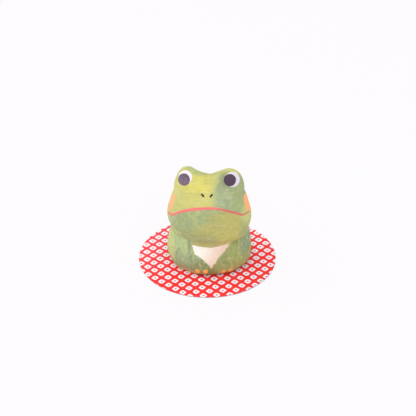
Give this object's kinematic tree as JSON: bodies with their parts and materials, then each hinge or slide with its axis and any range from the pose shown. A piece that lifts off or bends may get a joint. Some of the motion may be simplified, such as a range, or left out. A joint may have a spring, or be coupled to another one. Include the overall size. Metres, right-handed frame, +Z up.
{
  "type": "frog figurine",
  "caption": "Squat hand-painted frog figurine with swollen eyes and a wide mouth, standing on a round printed paper mat.",
  "frame": {"origin": "centre of the paper mat's underside", "axes": "+Z up from the table, -Y the way the frog looks, +X to the right as the viewer sees it"},
  "size_m": [0.08, 0.08, 0.0634],
  "materials": {
    "painted_frog": "matte brushed paint",
    "printed_paper": "matte print"
  },
  "bodies": {
    "root": {"frog": "painted_frog", "paper_mat": "printed_paper"}
  },
  "joints": []
}
